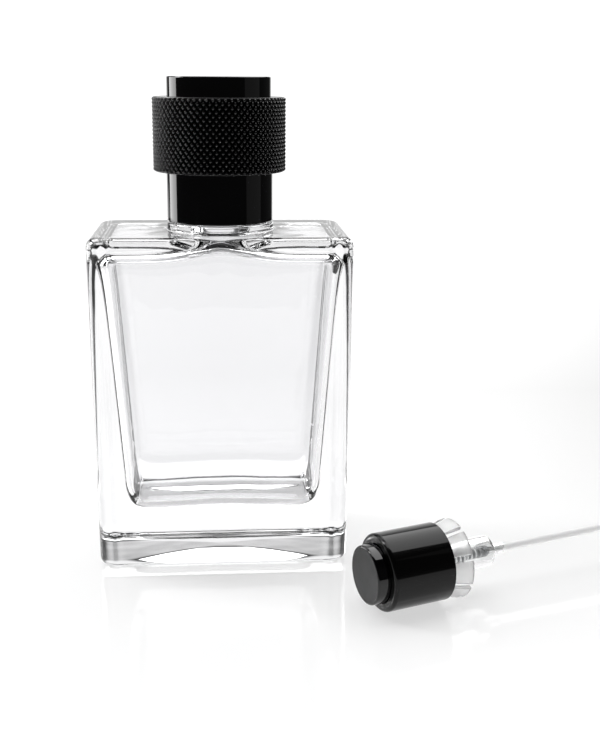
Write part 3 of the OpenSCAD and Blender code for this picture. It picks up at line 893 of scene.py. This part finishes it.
class BOTTLE_OT_housing(bpy.types.Operator):
    """Turns the hazy pump housing with its cylinder, valve seat and tail"""
    bl_idname = "bottle.housing"
    bl_label = "Pump housing"

    def execute(self, context):
        node = Span("pump_housing", PUMP)
        ball = Span("inlet_ball", PUMP)
        spring = Span("return_spring", PUMP)
        piston = Span("piston", PUMP)
        tube = Span("dip_tube", PUMP)
        gasket = Span("neck_gasket", PUMP)
        body_r = gasket.inner - PRESS_GAP
        bore = piston.outer + 0.03 * MM
        chamber = spring.outer + 0.2 * MM
        ledge = spring.low - PRESS_GAP
        end = ledge - 0.4 * MM
        seat_r = tube.inner
        cone = ball.outer + 0.45 * MM
        seat = ledge - (cone - seat_r)
        tail_top, tail_tip = tube.outer + 0.6 * MM, tube.outer + 0.25 * MM
        socket, socket_end = tube.outer + PRESS_GAP, tube.high + PRESS_GAP
        flange = gasket.high + PRESS_GAP
        narrow = piston.low - 0.6 * MM - 5.2 * MM
        outline = rounded([
            (bore, node.high, 0.1 * MM), (bore, narrow, 0.2 * MM), (chamber, narrow - 0.8 * MM, 0.2 * MM),
            (chamber, ledge, 0.1 * MM), (cone, ledge, 0.1 * MM), (seat_r, seat, 0.1 * MM),
            (seat_r, socket_end, 0), (socket, socket_end, 0), (socket, node.low, 0.1 * MM),
            (tail_tip, node.low, 0.12 * MM), (tail_top, end, 0.3 * MM), (body_r, end, 0.9 * MM),
            (body_r, flange, 0.1 * MM), (node.outer, flange, 0.1 * MM), (node.outer, node.high, 0.15 * MM)])
        piece = lathe("housing_hazy_shell", outline, material("hazy"), PUMP, SMALL_SEGMENTS)
        fasten(piece, "pump", "frosted_polypropylene", "pump_housing")
        for name, look in (("neck_gasket", "soft"), ("stem_guide", "white"), ("pump_stem", "white"),
                           ("piston", "soft"), ("inlet_ball", "ball")):
            paint(name, look)
        return {"FINISHED"}


class BOTTLE_OT_spring(bpy.types.Operator):
    """Winds the return spring, with closed ends"""
    bl_idname = "bottle.spring"
    bl_label = "Return spring"

    def execute(self, context):
        node = Span("return_spring", PUMP)
        wire = (node.outer - node.inner) / 2
        mean = node.outer - wire
        closed, opened = 1.25, sizes().pump.turns
        per_turn, sides = 24, 8
        total = opened + 2 * closed
        count = int(total * per_turn)
        first, last = node.low + wire, node.high - wire
        open_pitch = (last - first - 2 * closed * 2 * wire) / opened
        bm = bmesh.new()
        rings = []
        for i in range(count + 1):
            turn = total * i / count
            rise = 2 * wire * min(turn, closed) + open_pitch * min(max(turn - closed, 0), opened)
            rise += 2 * wire * max(turn - closed - opened, 0)
            a = 2 * math.pi * turn
            ring = []
            for k in range(sides):
                b = 2 * math.pi * k / sides
                out = mean + wire * math.cos(b)
                level = first + rise + wire * math.sin(b)
                ring.append(bm.verts.new((out * math.cos(a), out * math.sin(a), level)))
            rings.append(ring)
        skin(bm, rings, closed=False)
        bm.faces.new(rings[0])
        bm.faces.new(rings[-1])
        piece = mesh_object("return_spring_wire", bm, material("wire"), PUMP)
        fasten(piece, "pump", "stainless_wire", "return_spring")
        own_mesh(piece)
        return {"FINISHED"}


class BOTTLE_OT_tube(bpy.types.Operator):
    """Draws the dip tube with its slanted cut end"""
    bl_idname = "bottle.tube"
    bl_label = "Dip tube"

    def execute(self, context):
        tube = Span("dip_tube", PUMP)
        levels = 24
        slant = math.tan(math.radians(35))
        bm = bmesh.new()
        rings = []
        walls = [(tube.outer, t / levels) for t in range(levels + 1)]
        walls += [(tube.inner, 1 - t / levels) for t in range(levels + 1)]
        for r, t in walls:
            ring = []
            for k in range(SMALL_SEGMENTS // 2):
                a = 4 * math.pi * k / SMALL_SEGMENTS
                x = r * math.cos(a)
                low = tube.low + max(0.0, -x * slant)
                ring.append(bm.verts.new((x, r * math.sin(a), low + (tube.high - low) * t)))
            rings.append(ring)
        skin(bm, rings, closed=True)
        piece = mesh_object("dip_tube_milky", bm, material("tube"), PUMP)
        fasten(piece, "pump", "milky_tube", "dip_tube")
        return {"FINISHED"}


# ---- Stage ----

CAMERA_PLACE = Vector((-1.57, -281.8, 122.26)) * MM
CAMERA_YAW = math.radians(4.466)
CAMERA_PITCH = math.radians(15.198)
CAMERA_ROLL = math.radians(0.473)
CAMERA_LENS = 53.6


def set_camera():
    """The camera, about as high as the cap's top and looking down at the bottle and the pump."""
    forward = Vector((math.sin(CAMERA_YAW) * math.cos(CAMERA_PITCH),
                      math.cos(CAMERA_YAW) * math.cos(CAMERA_PITCH), -math.sin(CAMERA_PITCH)))
    right = Vector((math.cos(CAMERA_YAW), -math.sin(CAMERA_YAW), 0))
    up = right.cross(forward)
    c, s = math.cos(CAMERA_ROLL), math.sin(CAMERA_ROLL)
    right, up = c * right + s * up, c * up - s * right
    data = bpy.data.cameras.new("studio_camera")
    data.lens = CAMERA_LENS
    data.sensor_width = 36
    data.clip_start = 0.01
    camera = bpy.data.objects.new("studio_camera", data)
    place = Matrix((right, up, -forward)).transposed().to_4x4()
    place.translation = CAMERA_PLACE
    camera.matrix_world = place
    bpy.context.scene.collection.objects.link(camera)
    bpy.context.scene.camera = camera


def panel(name, centre, target, size, brightness):
    """A softbox: an even rectangle of light that the camera itself doesn't see."""
    data = bpy.data.lights.new(name, "AREA")
    data.shape = "RECTANGLE"
    data.size, data.size_y = size
    data.energy = brightness * math.pi * size[0] * size[1]
    light = bpy.data.objects.new(name, data)
    aim = (Vector(target) - Vector(centre)).normalized()
    light.matrix_world = Matrix.Translation(centre) @ aim.to_track_quat("-Z", "Y").to_matrix().to_4x4()
    light.visible_camera = False
    bpy.context.scene.collection.objects.link(light)


def studio_world():
    """A dim room with a paler backdrop, which the camera sees as plain white."""
    world = bpy.data.worlds.new("studio")
    world.use_nodes = True
    tree = world.node_tree
    tree.nodes.clear()
    where = add(tree, "ShaderNodeTexCoord")
    parts = add(tree, "ShaderNodeSeparateXYZ", {0: where.outputs["Generated"]})
    back = add(tree, "ShaderNodeMapRange", {"Value": parts.outputs[1], "From Min": 0.86, "From Max": 0.95,
                                            "To Min": 0.04, "To Max": 1.0}, interpolation_type="SMOOTHSTEP")
    low = add(tree, "ShaderNodeMapRange", {"Value": parts.outputs[2], "From Min": 0.45, "From Max": 0.8,
                                           "To Min": 1.0, "To Max": 0.4}, interpolation_type="SMOOTHSTEP")
    room = add(tree, "ShaderNodeMath", {0: back.outputs[0], 1: low.outputs[0]}, operation="MULTIPLY")
    seen = add(tree, "ShaderNodeLightPath")
    dim = add(tree, "ShaderNodeBackground", {"Color": (1, 1, 1, 1), "Strength": room.outputs[0]})
    white = add(tree, "ShaderNodeBackground", {"Color": (1, 1, 1, 1), "Strength": 1.2})
    mix = add(tree, "ShaderNodeMixShader",
              {0: seen.outputs["Is Camera Ray"], 1: dim.outputs[0], 2: white.outputs[0]})
    add(tree, "ShaderNodeOutputWorld", {"Surface": mix.outputs[0]})
    bpy.context.scene.world = world


def table_top():
    """Opal acrylic sheet with a faint mirror on top. It glows itself as painted light, standing in for a
    light below it; the glow is stronger at the front and on the right, where the lights above give less, so
    that the sheet looks evenly white, and it also lightens the shadows on the sheet."""
    sheet, tree, shader = finish("opal_acrylic_painted_glow", {
        "Base Color": linear("#A1A1A1"), "Roughness": 0.08, "IOR": 1.7, "Emission Color": linear("#FFFFFF")})
    glow = sizes().stage.glow
    where = add(tree, "ShaderNodeTexCoord")
    parts = add(tree, "ShaderNodeSeparateXYZ", {0: where.outputs["Object"]})
    # painted glow: more emission at the front, where the overhead bank gives less light, which also lightens
    # the shadows there
    back = add(tree, "ShaderNodeMapRange", {"Value": parts.outputs[1], "From Min": -0.05, "From Max": 0.14,
                                            "To Min": glow, "To Max": 0.5 * glow})
    # painted glow: more emission towards the right, away from the left panels
    side = add(tree, "ShaderNodeMapRange", {"Value": parts.outputs[0], "From Min": 0.0, "From Max": 0.16,
                                            "To Min": 0.0, "To Max": 0.15 * glow})
    both = add(tree, "ShaderNodeMath", {0: back.outputs["Result"], 1: side.outputs["Result"]})
    tree.links.new(both.outputs[0], shader.inputs["Emission Strength"])
    return sheet


class BOTTLE_OT_stage(bpy.types.Operator):
    """Sets up the white table, the softboxes, the room and the camera"""
    bl_idname = "bottle.stage"
    bl_label = "Studio"

    def execute(self, context):
        stage = sizes().stage
        set_camera()
        studio_world()
        bm = bmesh.new()
        front, back, left, right = -0.42, 1.7, -0.5, 0.26
        corners = [(left, front, 0), (right, front, 0), (right, back, 0), (left, back, 0)]
        bm.faces.new([bm.verts.new(c) for c in corners])
        table = mesh_object("table_top", bm, table_top())
        table.location.z = -0.02 * MM
        panel("top_bank", (0, 0.75, 1.0), (0, 0.75, 0), (1.6, 1.7), stage.top)
        panel("left_panel", (-0.34, 0.21, 0.13), (0, 0, 0.08), (0.22, 0.24), stage.left)
        panel("high_left_panel", (-0.37, 0.126, 0.33), (0, 0, 0.11), (0.13, 0.13), stage.high_left)
        panel("right_panel", (0.42, -0.09, 0.2), (0, 0, 0.08), (0.34, 0.38), stage.right)
        context.scene.view_settings.view_transform = "Standard"
        return {"FINISHED"}


class BOTTLE_PT_parts(bpy.types.Panel):
    """Lists the bottle's sizes and the operators that build its pieces"""
    bl_idname = "BOTTLE_PT_parts"
    bl_label = "Glass bottle"
    bl_space_type = "VIEW_3D"
    bl_region_type = "UI"
    bl_category = "Bottle"

    def draw(self, context):
        groups = context.scene.bottle_sizes
        for group in (groups.glass, groups.cap, groups.pump, groups.stage):
            box = self.layout.box()
            for name in group.bl_rna.properties.keys():
                if name not in ("rna_type", "name"):
                    box.prop(group, name)
        for operator in OPERATORS:
            self.layout.operator(operator.bl_idname)


OPERATORS = (BOTTLE_OT_stage, BOTTLE_OT_glass, BOTTLE_OT_cap, BOTTLE_OT_knurl, BOTTLE_OT_collar,
             BOTTLE_OT_button, BOTTLE_OT_fingers, BOTTLE_OT_housing, BOTTLE_OT_spring, BOTTLE_OT_tube)
CLASSES = (GlassSizes, CapSizes, PumpSizes, StageSettings, BottleSizes) + OPERATORS + (BOTTLE_PT_parts,)


def register():
    for item in CLASSES:
        bpy.utils.register_class(item)
    bpy.types.Scene.bottle_sizes = PointerProperty(type=BottleSizes)


def unregister():
    del bpy.types.Scene.bottle_sizes
    for item in reversed(CLASSES):
        bpy.utils.unregister_class(item)


def main():
    """Builds everything in order."""
    register()
    for operator in OPERATORS:
        group, name = operator.bl_idname.split(".")
        getattr(getattr(bpy.ops, group), name)()


if __name__ == "__main__":
    main()
